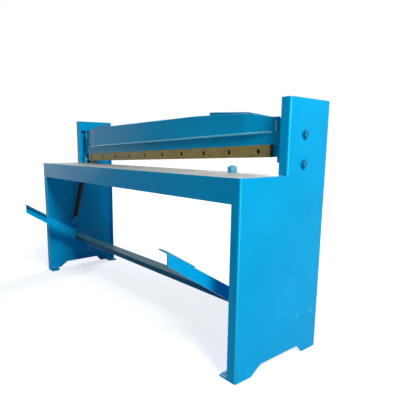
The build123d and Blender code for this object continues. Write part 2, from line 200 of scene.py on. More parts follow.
class StageSettings(bpy.types.PropertyGroup):
    key_strength: bpy.props.FloatProperty(
        name="Key light",
        description="Strength of the soft light from the machine's right",
        min=0.0,
        default=0.97,
    )
    window_strength: bpy.props.FloatProperty(
        name="Window light",
        description="Strength of the low soft light at the left that shows in the gloss",
        min=0.0,
        default=0.085,
    )
    back_strength: bpy.props.FloatProperty(
        name="Back light",
        description="Strength of the soft light from behind and to the left",
        min=0.0,
        default=0.45,
    )
    fill_strength: bpy.props.FloatProperty(
        name="Fill light",
        description="Strength of the even light from all round",
        min=0.0,
        default=0.03,
    )


# ------------------------ node helpers


class Nodes:
    """A new material and the means to add nodes to it. A source is a (node, output) pair."""

    def __init__(self, name):
        self.material = bpy.data.materials.new(name)
        self.material.use_nodes = True
        self.tree = self.material.node_tree
        self.tree.nodes.clear()
        self.output = self.tree.nodes.new("ShaderNodeOutputMaterial")
        self.shader = self.add("ShaderNodeBsdfPrincipled")
        self.link((self.shader, "BSDF"), self.output, "Surface")
        self.place = self.add("ShaderNodeTexCoord")

    def add(self, kind, **values):
        node = self.tree.nodes.new(kind)
        for key, value in values.items():
            setattr(node, key, value)
        return node

    def link(self, source, node, into):
        self.tree.links.new(source[0].outputs[source[1]], node.inputs[into])

    def split(self, coordinate):
        """X, Y and Z of a piece's Object coordinates, or of the Normal of its faces."""
        node = self.add("ShaderNodeSeparateXYZ")
        self.link((self.place, coordinate), node, "Vector")
        return node

    def math(self, operation, *sources):
        node = self.add("ShaderNodeMath", operation=operation)
        for socket, source in enumerate(sources):
            self.link(source, node, socket)
        return (node, "Value")

    def noise(self, scale, detail=4.0, rough=0.5, stretch=None, distortion=0.0):
        """Noise over Object coordinates; stretch scales it by axis."""
        node = self.add("ShaderNodeTexNoise")
        node.inputs["Scale"].default_value = scale
        node.inputs["Detail"].default_value = detail
        node.inputs["Roughness"].default_value = rough
        node.inputs["Distortion"].default_value = distortion
        place = (self.place, "Object")
        if stretch is not None:
            mapping = self.add("ShaderNodeMapping")
            mapping.inputs["Scale"].default_value = stretch
            self.link(place, mapping, "Vector")
            place = (mapping, "Vector")
        self.link(place, node, "Vector")
        return (node, "Fac")

    def rise(self, source, start, end, first=0.0, last=1.0):
        """Carries a value from first to last while the source goes from start to end."""
        node = self.add("ShaderNodeMapRange")
        node.inputs["From Min"].default_value = start
        node.inputs["From Max"].default_value = end
        node.inputs["To Min"].default_value = first
        node.inputs["To Max"].default_value = last
        self.link(source, node, "Value")
        return (node, "Result")

    def height_band(self, start, end, soft=0.008):
        """1 between two heights of the piece, 0 outside, with soft borders."""
        height = (self.split("Object"), "Z")
        above = self.rise(height, start - soft, start + soft)
        below = self.rise(height, end + soft, end - soft)
        return self.math("MULTIPLY", above, below)

    def ramp(self, source, places, colours):
        """Colours one after another, each at its place between 0 and 1."""
        node = self.add("ShaderNodeValToRGB")
        elements = node.color_ramp.elements
        while len(elements) < len(colours):
            elements.new(0.5)
        for element, at, colour in zip(elements, places, colours):
            element.position = at
            element.color = (*colour, 1.0)
        self.link(source, node, "Fac")
        return (node, "Color")

    def grey_ramp(self, source, start, end, first=0.0, last=1.0):
        return self.ramp(source, (start, end), ((first,) * 3, (last,) * 3))

    def mix(self, factor, a, b, blend="MIX"):
        """Mixes two colours; each of factor, a and b is a value or a source."""
        node = self.add("ShaderNodeMix", data_type="RGBA", blend_type=blend)
        for socket, value in ((0, factor), (6, a), (7, b)):
            if isinstance(value, tuple) and not isinstance(value[0], (int, float)):
                self.link(value, node, socket)
            elif socket == 0:
                node.inputs[0].default_value = value
            else:
                node.inputs[socket].default_value = (*value, 1.0)
        return (node, 2)

    def finish(self, colour, patches, rough, shine, bumps):
        """Sets colour, roughness in patches, IOR, and bumps as (source, distance, strength)."""
        self.link(colour, self.shader, "Base Color")
        self.link(self.rise(patches, 0.3, 0.7, *rough), self.shader, "Roughness")
        self.shader.inputs["IOR"].default_value = shine
        last = None
        for source, distance, strength in bumps:
            node = self.add("ShaderNodeBump")
            node.inputs["Distance"].default_value = distance
            node.inputs["Strength"].default_value = strength
            self.link(source, node, "Height")
            if last is not None:
                self.link(last, node, "Normal")
            last = (node, "Normal")
        self.link(last, self.shader, "Normal")
        return self.material


# ------------------------ materials


def times(colour, factor):
    return tuple(min(1.0, c * factor) for c in colour)


def coat_colour(n, colour, rubbed):
    """Enamel colour with slow drift, fine specks and scuffs that show the rubbed colour."""
    shades = (times(colour, 0.9), colour, times(colour, 1.06))
    base = n.ramp(n.noise(3.0, detail=5.0, rough=0.55), (0.3, 0.55, 0.75), shades)
    specks = n.grey_ramp(n.noise(140.0, detail=3.0, rough=0.6), 0.42, 0.6, first=0.94)
    coat = n.mix(1.0, base, specks, "MULTIPLY")
    scuffs = n.noise(26.0, detail=8.0, rough=0.68, stretch=(1.0, 1.0, 2.4), distortion=0.4)
    return n.mix(n.grey_ramp(scuffs, 0.68, 0.76), coat, rubbed)


def painted_fold_highlight_mask(n):
    """Mask of the painted highlight on the folds: up to 0.8 on the bends between two upright
    plates, and 0 on the plates.

    It follows |x * y| of the direction in which a face looks, which is 0 on a plate that looks
    along X or Y and 0.5 halfway round a bend.
    """
    facing = n.split("Normal")
    slant = n.math("ABSOLUTE", n.math("MULTIPLY", (facing, "X"), (facing, "Y")))
    return n.rise(slant, 0.36, 0.48, last=0.8)


def on_tops(n):
    """Patches, longest along X, on the faces that look up."""
    up = n.rise((n.split("Normal"), "Z"), 0.5, 0.9)
    patches = n.noise(22.0, detail=6.0, rough=0.6, stretch=(0.4, 1.0, 1.0))
    return n.mix(1.0, up, n.grey_ramp(patches, 0.3, 0.7, first=0.62, last=0.95), "MULTIPLY")


def blue_enamel(
    name, colour, rubbed, gloss=(0.1, 0.22), chips=0.0, shine=1.11, dust=None, painted_fold_highlight=None
):
    """Sprayed enamel: slight colour drift, orange peel, slow waves of the plate, small chips.

    A dust colour lies in patches on the faces that look up, and a painted highlight colour lies on
    the upright bends.
    """
    n = Nodes(name)
    coat = coat_colour(n, colour, rubbed)
    # Painted highlight: a lighter blue on the upright bends between plates.
    if painted_fold_highlight is not None:
        coat = n.mix(painted_fold_highlight_mask(n), coat, painted_fold_highlight)
    if dust is not None:
        coat = n.mix(on_tops(n), coat, dust)
    if chips > 0:
        bare_metal = (0.09, 0.1, 0.1)
        flakes = n.noise(85.0, detail=6.0, rough=0.6)
        coat = n.mix(n.grey_ramp(flakes, 0.72 - chips, 0.76 - chips), coat, bare_metal)
    waves = n.noise(5.0, detail=2.0, rough=0.4)
    peel = n.noise(420.0, detail=2.0, rough=0.5)
    bumps = [(waves, 0.004, 0.2), (peel, 0.0004, 0.2)]
    return n.finish(coat, n.noise(9.0, detail=6.0, rough=0.6), gloss, shine, bumps)


def oiled_steel(name, shades, metallic, rough, lines_stretch, shine=1.3, painted_shade_from=None):
    """Ground steel under brown oil, with grinding lines and stains; its ends darken from an X on
    as a painted shade.
    """
    n = Nodes(name)
    lines = n.noise(60.0, detail=4.0, rough=0.6, stretch=lines_stretch)
    stains = n.noise(14.0, detail=6.0, rough=0.62, distortion=0.6)
    grind = n.grey_ramp(lines, 0.35, 0.65, first=0.84)
    steel = n.mix(1.0, n.ramp(stains, (0.3, 0.52, 0.72), shades), grind, "MULTIPLY")
    if painted_shade_from is not None:
        # Painted shade: the steel turns dark brown over the last few millimetres of its ends.
        painted_end_shade = (0.035, 0.028, 0.018)
        fade = 0.006
        reach = n.math("ABSOLUTE", (n.split("Object"), "X"))
        steel = n.mix(n.rise(reach, painted_shade_from, painted_shade_from + fade), steel, painted_end_shade)
    n.shader.inputs["Metallic"].default_value = metallic
    patches = n.noise(30.0, detail=5.0, rough=0.6, stretch=(0.3, 1.0, 2.0))
    return n.finish(steel, patches, rough, shine, [(lines, 0.0006, 0.35)])


def ground_table(name):
    """Machined table plate: oil patches, rust-brown smears, and fine grinding lines along X."""
    n = Nodes(name)
    shades = ((0.44, 0.445, 0.415), (0.6, 0.61, 0.575), (0.74, 0.75, 0.73))
    rust_brown = (0.3, 0.24, 0.15)
    patches = n.noise(4.0, detail=6.0, rough=0.6, distortion=0.3)
    base = n.ramp(patches, (0.32, 0.5, 0.68), shades)
    smears = n.noise(6.0, detail=7.0, rough=0.66, stretch=(0.5, 1.6, 1.0), distortion=0.8)
    dirty = n.mix(n.grey_ramp(smears, 0.58, 0.72, last=0.75), base, rust_brown)
    lines = n.noise(90.0, detail=4.0, rough=0.6, stretch=(0.05, 2.0, 1.0))
    plate = n.mix(1.0, dirty, n.grey_ramp(lines, 0.35, 0.62, first=0.86), "MULTIPLY")
    n.shader.inputs["Metallic"].default_value = 0.25
    patches = n.noise(18.0, detail=6.0, rough=0.6)
    return n.finish(plate, patches, (0.34, 0.5), 1.3, [(lines, 0.0005, 0.3)])


def dipped_bar(name, colour, rubbed):
    """Dark rolled bar, painted blue at its two eyes and bare between two heights."""
    n = Nodes(name)
    bare_from, bare_to = 0.349, 0.715
    shades = ((0.008, 0.006, 0.005), (0.017, 0.012, 0.009), (0.035, 0.026, 0.02))
    patches = n.noise(18.0, detail=6.0, rough=0.62, distortion=0.4)
    bare = n.ramp(patches, (0.3, 0.55, 0.75), shades)
    streaks = n.noise(60.0, detail=4.0, rough=0.6, stretch=(1.0, 1.0, 0.15))
    dark = n.mix(1.0, bare, n.grey_ramp(streaks, 0.35, 0.65, first=0.8), "MULTIPLY")
    bar = n.mix(n.height_band(bare_from, bare_to), coat_colour(n, colour, rubbed), dark)
    patches = n.noise(35.0, detail=5.0, rough=0.6)
    return n.finish(bar, patches, (0.3, 0.48), 1.22, [(streaks, 0.0005, 0.35)])


MATERIALS = {}


def make_materials():
    """Fills MATERIALS with the finishes, under the keys that FINISHES and add_piece use."""
    paint = bpy.context.scene.shear_paint
    colour = tuple(paint.colour)
    rubbed = tuple(paint.rubbed)
    bright = tuple(min(1.0, c * 1.05 + 0.02) for c in rubbed)
    # Light blue for the upright bends of the frames: a painted highlight.
    painted_fold_highlight = (0.03, 0.6, 0.95)
    rubbed_blue = (0.075, 0.36, 0.56)
    # Lighter blue for the weld ridges: partly rubbed paint, partly a painted highlight.
    weld_ridge_with_painted_highlight = (0.07, 0.5, 0.76)
    worn_ridge = (0.3, 0.62, 0.8)
    trodden = (0.085, 0.32, 0.45)
    scraped = (0.32, 0.46, 0.54)
    # Deep blue for the cross bar: a painted shade over the whole bar.
    grimy = (0.0015, 0.115, 0.25)
    dust = (0.095, 0.25, 0.31)
    MATERIALS.update(
        enamel=blue_enamel("blue_enamel", colour, rubbed, painted_fold_highlight=painted_fold_highlight),
        edge=blue_enamel(
            "rubbed_enamel_edge", rubbed, bright, gloss=(0.16, 0.28), chips=0.02, shine=1.3
        ),
        # Bolts and pivot pins: enamel darkened to half its colour, a painted shade for the shaded
        # faces of their heads, with real chips.
        bolt=blue_enamel(
            "bolt_enamel_darkened_as_painted_shade",
            times(colour, 0.5),
            rubbed,
            gloss=(0.14, 0.26),
            chips=0.04,
            shine=1.25,
        ),
        clamp=blue_enamel(
            "rubbed_enamel_on_clamp",
            rubbed_blue,
            worn_ridge,
            gloss=(0.2, 0.36),
            chips=0.04,
            shine=1.4,
        ),
        tread=blue_enamel(
            "trodden_enamel", trodden, scraped, gloss=(0.28, 0.44), chips=0.04, shine=1.2
        ),
        # Cross bar: enamel darkened as a painted shade, with real dust on the faces that look up.
        grimy=blue_enamel(
            "grimy_enamel", grimy, trodden, gloss=(0.16, 0.3), chips=0.02, shine=1.1, dust=dust
        ),
        # Weld beads in the lightened ridge colour: partly rubbed paint, partly a painted
        # highlight, with rubbed scuffs.
        bead=blue_enamel("enamel_on_weld_with_painted_highlight", weld_ridge_with_painted_highlight, worn_ridge, gloss=(0.08, 0.16), shine=1.6),
        table=ground_table("ground_table_plate"),
        rod=dipped_bar("dark_bar_with_painted_eyes", colour, rubbed),
    )
    lines_along_x = (0.06, 1.0, 6.0)
    MATERIALS.update(
        blade=oiled_steel(
            "oiled_blade_steel",
            shades=((0.27, 0.215, 0.08), (0.36, 0.29, 0.105), (0.43, 0.36, 0.15)),
            metallic=0.0,
            rough=(0.34, 0.5),
            lines_stretch=lines_along_x,
            shine=1.22,
            # The blade turns dark over its last 4 mm at each end, a painted shade.
            painted_shade_from=BLADE_END - 0.004,
        ),
        bed_blade=oiled_steel(
            "dark_oiled_bed_blade",
            shades=((0.03, 0.024, 0.014), (0.06, 0.048, 0.03), (0.1, 0.085, 0.055)),
            metallic=0.2,
            rough=(0.34, 0.5),
            lines_stretch=lines_along_x,
        ),
        rail=oiled_steel(
            "greased_guide_rail",
            shades=((0.05, 0.046, 0.038), (0.12, 0.112, 0.095), (0.24, 0.23, 0.2)),
            metallic=0.7,
            rough=(0.22, 0.42),
            lines_stretch=(1.0, 1.0, 0.08),
        ),
        pin=oiled_steel(
            "turned_pin_steel",
            shades=((0.11, 0.1, 0.09), (0.2, 0.19, 0.18), (0.32, 0.31, 0.29)),
            metallic=0.8,
            rough=(0.25, 0.42),
            lines_stretch=(0.2, 2.0, 2.0),
        ),
        screw=oiled_steel(
            "black_socket_screw",
            shades=((0.006, 0.005, 0.004), (0.013, 0.011, 0.008), (0.026, 0.022, 0.016)),
            metallic=0.3,
            rough=(0.3, 0.5),
            lines_stretch=(1.0, 1.0, 1.0),
        ),
    )


# ------------------------ mesh helpers


def add_piece(name, parts, body, material, smooth=True):
    """Makes a piece of (points, faces) parts that rides on a body, with its place in its mesh."""
    mesh = mesh_of(name + "_form", parts)
    piece = bpy.data.objects.new(name, mesh)
    bpy.context.scene.collection.objects.link(piece)
    mesh.materials.append(MATERIALS[material])
    mesh.polygons.foreach_set("use_smooth", np.full(len(mesh.polygons), smooth))
    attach(piece, body)
    return piece


def grid_faces(rows, columns, wrap_rows=False, wrap_columns=True):
    """Quads of a rows by columns grid, as index array."""
    r = np.arange(rows if wrap_rows else rows - 1)
    c = np.arange(columns if wrap_columns else columns - 1)
    r, c = np.meshgrid(r, c, indexing="ij")
    r2 = (r + 1) % rows
    c2 = (c + 1) % columns
    quads = np.stack([r * columns + c, r * columns + c2, r2 * columns + c2, r2 * columns + c], -1)
    return quads.reshape(-1, 4)


def closed_by_ends(rows, columns):
    """Faces of a grid wrapped round its columns, with a cap on the first and the last row."""
    faces = grid_faces(rows, columns).tolist()
    faces.append(list(range(columns)))
    faces.append(list(range((rows - 1) * columns, rows * columns)))
    return faces


def mesh_of(name, parts):
    """One mesh from several (points, faces) parts, with outward normals."""
    points = []
    faces = []
    start = 0
    for p, f in parts:
        points.append(p.reshape(-1, 3))
        faces += [tuple(int(i) + start for i in face) for face in f]
        start += len(points[-1])
    mesh = bpy.data.meshes.new(name)
    mesh.from_pydata(np.concatenate(points).tolist(), [], faces)
    work = bmesh.new()
    work.from_mesh(mesh)
    bmesh.ops.recalc_face_normals(work, faces=work.faces)
    work.to_mesh(mesh)
    work.free()
    mesh.update()
    return mesh


def tube(path, radius, sides=8, ripple=0.0, pitch=0.007):
    """Round bead or wire along an open path, rounded off to a small cap at both ends.

    point(s, a) = path(s) + r(s) * (cos a * u + sin a * v), where u and v stand across the path
    and r(s) = radius * (1 + ripple * |sin(pi * length(s) / pitch)|), which falls off over the
    last stretch of each end as a quarter of a circle does.
    """
    spans_per_ripple, least_rings = 3.0, 6
    rounded_end, least_share = radius * 1.2, 0.02
    path = np.asarray(path, float)
    steps = np.linalg.norm(np.diff(path, axis=0), axis=1)
    length = np.concatenate([[0.0], np.cumsum(steps)])
    count = max(least_rings, int(length[-1] / (pitch / spans_per_ripple)))
    s = np.linspace(0.0, length[-1], count)
    line = np.stack([np.interp(s, length, path[:, k]) for k in range(3)], 1)
    ahead = np.gradient(line, axis=0)
    ahead /= np.linalg.norm(ahead, axis=1)[:, None]
    side = np.eye(3)[np.argmin(np.abs(ahead).max(0))]
    u = np.cross(ahead, side)
    u /= np.linalg.norm(u, axis=1)[:, None]
    v = np.cross(ahead, u)
    r = radius * (1 + ripple * np.abs(np.sin(np.pi * s / pitch)))
    from_end = np.clip(np.minimum(s, length[-1] - s) / rounded_end, 0, 1)
    r = r * np.sqrt(np.clip(1 - (1 - from_end) ** 2, least_share, 1))
    a = np.linspace(0, 2 * np.pi, sides, endpoint=False)
    ring = np.cos(a)[None, :, None] * u[:, None, :] + np.sin(a)[None, :, None] * v[:, None, :]
    points = line[:, None, :] + r[:, None, None] * ring
    return points, closed_by_ends(count, sides)


def bead(path, radius, pitch):
    """Ordinary weld bead along a path."""
    return tube(path, radius, ripple=WELD_RIPPLE, pitch=pitch)


def upright(x, y, start, end):
    """Path from one height to another."""
    return [(x, y, start), (x, y, end)]


def level(start, end, y, z):
    """Path from one x to another."""
    return [(start, y, z), (end, y, z)]


def across(axis):
    """Two unit vectors that stand across a unit axis."""
    helper = np.array([0.0, 0.0, 1.0]) if abs(axis[2]) < 0.9 else np.array([1.0, 0.0, 0.0])
    u = np.cross(helper, axis)
    u /= np.linalg.norm(u)
    return u, np.cross(axis, u)


def ring_bead(centre, axis, ring_radius, radius, pitch):
    """Closed weld ring.

    point(t, a) = centre + (R + r cos a) * (cos t * u + sin t * v) + r sin a * axis, with
    r = radius * (1 + ripple height * |sin(k t / 2)|) for k ripples round the ring.
    """
    sides, spans_per_ripple, least_ripples = 8, 4, 6
    axis = np.asarray(axis, float)
    u, v = across(axis)
    ripples = max(least_ripples, int(2 * np.pi * ring_radius / pitch))
    t = np.linspace(0, 2 * np.pi, ripples * spans_per_ripple, endpoint=False)[:, None]
    a = np.linspace(0, 2 * np.pi, sides, endpoint=False)[None, :]
    r = radius * (1 + WELD_RIPPLE * np.abs(np.sin(ripples * t / 2)))
    out = ring_radius + r * np.cos(a)
    points = (
        np.asarray(centre, float)
        + (out * np.cos(t))[..., None] * u
        + (out * np.sin(t))[..., None] * v
        + (r * np.sin(a))[..., None] * axis
    )
    return points, grid_faces(len(t), sides, True, True).tolist()


def turned(profile, centre, axis, sides=24, flats=None, thread=None):
    """Turned, hexagonal or threaded form about an axis.

    point(t, a) = centre + h(t) * axis + r(t, a) * (cos a * u + sin a * v), where (h, r) is the
    profile. With flats, r is at most flats / 2 / cos of the angle from the middle of the nearest
    flat. With thread = (pitch, depth), r falls by depth * |2 * frac(h / pitch - a / 2 pi) - 1|.
    """
    profile = np.asarray(profile, float)
    axis = np.asarray(axis, float)
    u, v = across(axis)
    a = np.linspace(0, 2 * np.pi, sides, endpoint=False)
    r = np.repeat(profile[:, 1][:, None], sides, 1)
    if flats:
        sixth = np.pi / 3
        off = np.mod(a + sixth / 2, sixth) - sixth / 2
        r = np.minimum(r, (flats / 2 / np.cos(off))[None, :])
    if thread:
        turn = profile[:, 0][:, None] / thread[0] - a[None, :] / (2 * np.pi)
        r = r - thread[1] * np.abs(2 * np.mod(turn, 1.0) - 1)
    ring = np.cos(a)[:, None] * u + np.sin(a)[:, None] * v
    points = (
        np.asarray(centre, float)[None, None, :]
        + profile[:, 0][:, None, None] * axis
        + r[:, :, None] * ring[None, :, :]
    )
    return points, closed_by_ends(len(profile), sides)


def mirrored(parts):
    """The same parts on the other side of X = 0."""
    return [(p.reshape(-1, 3) * np.array([-1.0, 1.0, 1.0]), f) for p, f in parts]


def both_sides(parts):
    return parts + mirrored(parts)


def hex_form(centre, axis, flats, height, both_ends=False):
    """Hexagon head, or nut with both_ends, with turned chamfers.

    The profile's heights are shares of the height, and its radii shares of the width across
    flats or of the radius at the corners.
    """
    corner = flats / math.sqrt(3)
    start = flats * 0.52 if both_ends else corner
    hub = 0.0008
    profile = [
        (0.0, hub),
        (0.0, flats * 0.47 if both_ends else corner * 0.98),
        (height * 0.1, start),
        (height * 0.18, corner),
        (height * 0.76, corner),
        (height * 0.92, flats * 0.53),
        (height, flats * 0.46),
        (height, hub),
    ]
    return turned(profile, centre, axis, sides=48, flats=flats)


def washer(centre, axis, radius, thickness):
    """Flat washer with its rims chamfered by a quarter of its thickness."""
    edge = thickness * 0.25
    hub = 0.001
    profile = [
        (0.0, hub),
        (0.0, radius - edge),
        (edge, radius),
        (thickness - edge, radius),
        (thickness, radius - edge),
        (thickness, hub),
    ]
    return turned(profile, centre, axis, sides=40)


def socket_head(centre, axis, radius, height):
    """Cap screw head with a rounded rim and a recess for the key, in shares of its size."""
    profile = [
        (0.0, radius),
        (height * 0.82, radius),
        (height, radius * 0.9),
        (height, radius * 0.54),
        (height * 0.4, radius * 0.52),
        (height * 0.36, 0.0004),
    ]
    return turned(profile, centre, axis)


def stitches(path, radius, pitch, length, gap):
    """Short weld runs of one length along a straight path, as many as fit, centred on it."""
    start, end = np.asarray(path, float)
    whole = np.linalg.norm(end - start)
    count = max(1, int((whole + gap) / (length + gap)))
    along = (end - start) / whole
    first = (whole - count * length - (count - 1) * gap) / 2
    runs = []
    for k in range(count):
        a = start + along * (first + k * (length + gap))
        runs.append(bead(np.stack([a, a + along * length]), radius, pitch))
    return runs


# ------------------------ operators

# Finish of each CAD node by a part of its name. Every other node is plain blue enamel.
FINISHES = {
    "guide_bolt": "bolt",
    "pivot_pin": "bolt",
    "table_clamp": "clamp",
    # The cross bar's enamel carries a painted shade.
    "cross_bar": "grimy",
    "foot_plate": "tread",
    "upper_blade": "blade",
    "lower_blade": "bed_blade",
    "table_top": "table",
    "pull_rod": "rod",
    "guide_rail": "rail",
    "upper_rod_pin": "pin",
}
RUBBED_AT_EDGES = ("enamel", "bolt", "clamp", "tread")


def finish_of(node):
    return next((finish for part, finish in FINISHES.items() if part in node), "enamel")


class SHEAR_OT_finishes(bpy.types.Operator):
    """Gives every CAD node its finish, with rounded and rubbed plate edges"""

    bl_idname = "shear.finishes"
    bl_label = "Paint and Steel Finishes"

    def execute(self, context):
        make_materials()
        same_corner = 0.00002
        sharp = math.radians(35)
        for name, node in NODES.items():
            finish = finish_of(name)
            edge = "edge" if finish in RUBBED_AT_EDGES else finish
            node.data.materials.clear()
            node.data.materials.append(MATERIALS[finish])
            node.data.materials.append(MATERIALS[edge])
            weld = node.modifiers.new("join_corners", "WELD")
            weld.merge_threshold = same_corner
            bevel = node.modifiers.new("rounded_edges", "BEVEL")
            bevel.width = context.scene.shear_paint.edge_radius
            bevel.segments = 2
            bevel.limit_method = "ANGLE"
            bevel.angle_limit = sharp
            bevel.material = 1
            bevel.harden_normals = True
            bevel.use_clamp_overlap = True
        return {"FINISHED"}


class SHEAR_OT_ram_welds(bpy.types.Operator):
    """Weld beads of the ram: along its lower edge, at its two end plates and at its crests"""

    bl_idname = "shear.ram_welds"
    bl_label = "Ram Weld Beads"

    def execute(self, context):
        weld = context.scene.shear_weld
        r, pitch = weld.bead_radius, weld.ripple_pitch
        left_end, right_end = -0.740, 0.793
        above, proud = 0.001, 0.0012
        x = np.array([left_end, -BEND_X, BEND_X, right_end])
        back = np.clip((np.abs(x) - BEND_X) / (SHOULDER_X - BEND_X), 0, 1)
        y = BEAM_BOW + back * (BLADE_FACE - BEAM_BOW) + proud
        z = low("beam_front")[2] + RAKE * (x + BEAM_END) + above
        path = np.stack([x, y, z], 1)
        lower = tube(path, weld.ram_bead_radius, sides=12, ripple=0.1, pitch=pitch)

        top = high("right_ram_shoe")[2]
        front = upright(BEAM_END - PLATE, BLADE_FACE, top - 0.004, top - 0.047)
        rear = upright(BEAM_END, high("beam_rear")[1], top - 0.01, top - 0.085)
        front_r = weld.ram_bead_radius * LIGHT_BEAD
        ends = [
            tube(front, front_r, sides=10, ripple=WELD_RIPPLE, pitch=pitch),
            bead(rear, r, pitch),
        ]

        crests = []
        inset, above = 0.02, 0.002
        for crest in ("left_crest", "right_crest"):
            lo, hi = span(crest)
            foot = level(lo[0] + inset, hi[0] - inset, hi[1], lo[2] + above)
            crests += stitches(foot, r, pitch, length=0.05, gap=0.04)
        parts = [lower] + both_sides(ends) + crests
        add_piece("ram_weld_beads", parts, "ram", "bead")
        return {"FINISHED"}


def foot_pad_path(pad, wall, inward, inner):
    """Round two sides of a foot pad, with the corner cut; inward is the way off the wall in Y."""
    lo, hi = span(f"right_{pad}_foot_pad")
    near = wall + inward * PLATE
    far = hi[1] if inward > 0 else lo[1]
    short = 0.002
    corner_x, corner_y = 0.003, 0.004
    return [
        (FLANGE_IN + short, near, hi[2]),
        (inner - corner_x, near, hi[2]),
        (inner, near + inward * corner_y, hi[2]),
        (inner, far - inward * short, hi[2]),
    ]


def bracket_path(inner):
    """Outline of the pivot bracket's plate, about the pivot, with its two lower corners cut."""
    y, z = PIVOT
    front, rear, bottom, top = y - 0.036, y + 0.124, z - 0.052, z + 0.088
    front_cut, rear_cut = 0.015, 0.050
    outline = [
        (front, top),
        (front, bottom + front_cut),
        (front + front_cut, bottom),
        (rear - rear_cut, bottom),
        (rear, bottom + rear_cut),
        (rear, top),
        (front, top),
    ]
    return [(inner, a, b) for a, b in outline]


class SHEAR_OT_frame_welds(bpy.types.Operator):
    """Weld beads of the frames: foot pads, pivot brackets, guide rails, ribs and bed bar"""

    bl_idname = "shear.frame_welds"
    bl_label = "Frame Weld Beads"

    def execute(self, context):
        weld = context.scene.shear_weld
        r, pitch = weld.bead_radius, weld.ripple_pitch
        inner = WEB_IN - 0.001
        parts = [
            bead(foot_pad_path("front", FRONT_Y, 1, inner), r, pitch),
            bead(foot_pad_path("rear", REAR_Y, -1, inner), r, pitch),
            bead(bracket_path(inner), r, pitch),
        ]

        bracket_plate, boss_radius = 0.010, 0.0245
        boss = (high("right_pivot_bracket")[0] - bracket_plate, *PIVOT)
        parts.append(ring_bead(boss, TO_RIGHT, boss_radius, r, pitch))

        inset = 0.01
        lo, hi = span("right_guide_rail")
        for y in (lo[1], hi[1]):
            edge = upright(inner, y, lo[2] + inset, hi[2] - inset)
            parts += stitches(edge, r, pitch, length=0.035, gap=0.045)

        inset = 0.006
        lo, hi = span("right_table_rib")
        for x in (lo[0], hi[0]):
            for y in (lo[1], hi[1]):
                parts.append(bead(upright(x, y, lo[2] + inset, hi[2] - inset), r, pitch))

        apron_back = FRONT_Y + PLATE
        bottom, top = low("front_apron")[2] + 0.004, TABLE_UNDER - 0.01
        parts.append(tube(upright(FLANGE_IN, apron_back, bottom, top), r))

        inset, half_apron = 0.02, 0.82
        lo, hi = span("bed_bar")
        middles = []
        for path in (
            level(lo[0] + inset, hi[0] - inset, lo[1], hi[2]),
            level(-half_apron, half_apron, apron_back, TABLE_UNDER),
        ):
            middles += stitches(path, r, pitch, length=0.05, gap=0.11)
        add_piece("frame_weld_beads", both_sides(parts) + middles, "frame", "bead")
        return {"FINISHED"}


class SHEAR_OT_treadle_welds(bpy.types.Operator):
    """Weld beads of the treadle: cross bar, foot plates and rod lugs"""

    bl_idname = "shear.treadle_welds"
    bl_label = "Treadle Weld Beads"

    def execute(self, context):
        weld = context.scene.shear_weld
        r, pitch = weld.bead_radius * LIGHT_BEAD, weld.ripple_pitch
        lo, hi = span("cross_bar")
        parts = [
            bead([(ARM_IN, lo[1] + 0.004, hi[2]), (ARM_IN, hi[1] - 0.003, hi[2])], r, pitch),
            bead(upright(ARM_IN, lo[1], lo[2] + 0.002, hi[2] - 0.004), r, pitch),
        ]

        seam_start, seam_end, pin_ring = 0.004, 0.034, 0.0142
        lo, hi = span("right_rod_lug")
        for y in (lo[1], hi[1]):
            parts.append(bead(upright(ARM_OUT, y, lo[2] + seam_start, lo[2] + seam_end), r, pitch))
        parts.append(ring_bead((ARM_OUT + PLATE, *LOWER_EYE), TO_RIGHT, pin_ring, r, pitch))

        plate, under_top = 0.005, 0.0066
        lo, hi = span("right_foot_plate")
        slope = (lo[2] - hi[2] + plate) / (hi[1] - lo[1])
        seam = []
        for y in (lo[1] + 0.022, hi[1] - 0.008):
            seam.append((ARM_IN, y, hi[2] - under_top + slope * (y - lo[1])))
        parts += stitches(seam, r, pitch, length=0.03, gap=0.012)
        add_piece("treadle_weld_beads", both_sides(parts), "treadle", "bead")
        return {"FINISHED"}


class SHEAR_OT_rod_welds(bpy.types.Operator):
    """Weld rings where each pull rod's bar enters its flat eyes"""

    bl_idname = "shear.rod_welds"
    bl_label = "Pull Rod Weld Rings"

    def execute(self, context):
        pitch = context.scene.shear_weld.ripple_pitch
        bar, r = 0.0152, 0.0028
        from_lower, from_upper = 0.0675, 0.0345
        start = np.array([ROD_X, *LOWER_EYE])
        end = np.array([ROD_X, *UPPER_EYE])
        along = (end - start) / np.linalg.norm(end - start)
        parts = [
            ring_bead(start + along * from_lower, along, bar, r, pitch),
            ring_bead(end - along * from_upper, along, bar, r, pitch),
        ]
        add_piece("right_rod_weld_rings", parts, "right_rod", "bead")
        add_piece("left_rod_weld_rings", mirrored(parts), "left_rod", "bead")
        return {"FINISHED"}


class SHEAR_OT_blade_screws(bpy.types.Operator):
    """Socket screws in the counterbored holes of the upper blade"""

    bl_idname = "shear.blade_screws"
    bl_label = "Blade Screws"

    def execute(self, context):
        count = context.scene.shear_fasteners.blade_screws
        hole_height, counterbore = 0.0235, 0.009
        radius, height = 0.0085, 0.0052
        y = BLADE_FACE + counterbore
        parts = []
        for x in np.linspace(-HOLE_HALF, HOLE_HALF, count) + HOLE_SHIFT:
            z = low("upper_blade")[2] + RAKE * (x + BLADE_END) + hole_height
            parts.append(socket_head((x, y, z), TO_FRONT, radius, height))
        add_piece("blade_screws", parts, "ram", "screw", smooth=False)
        return {"FINISHED"}


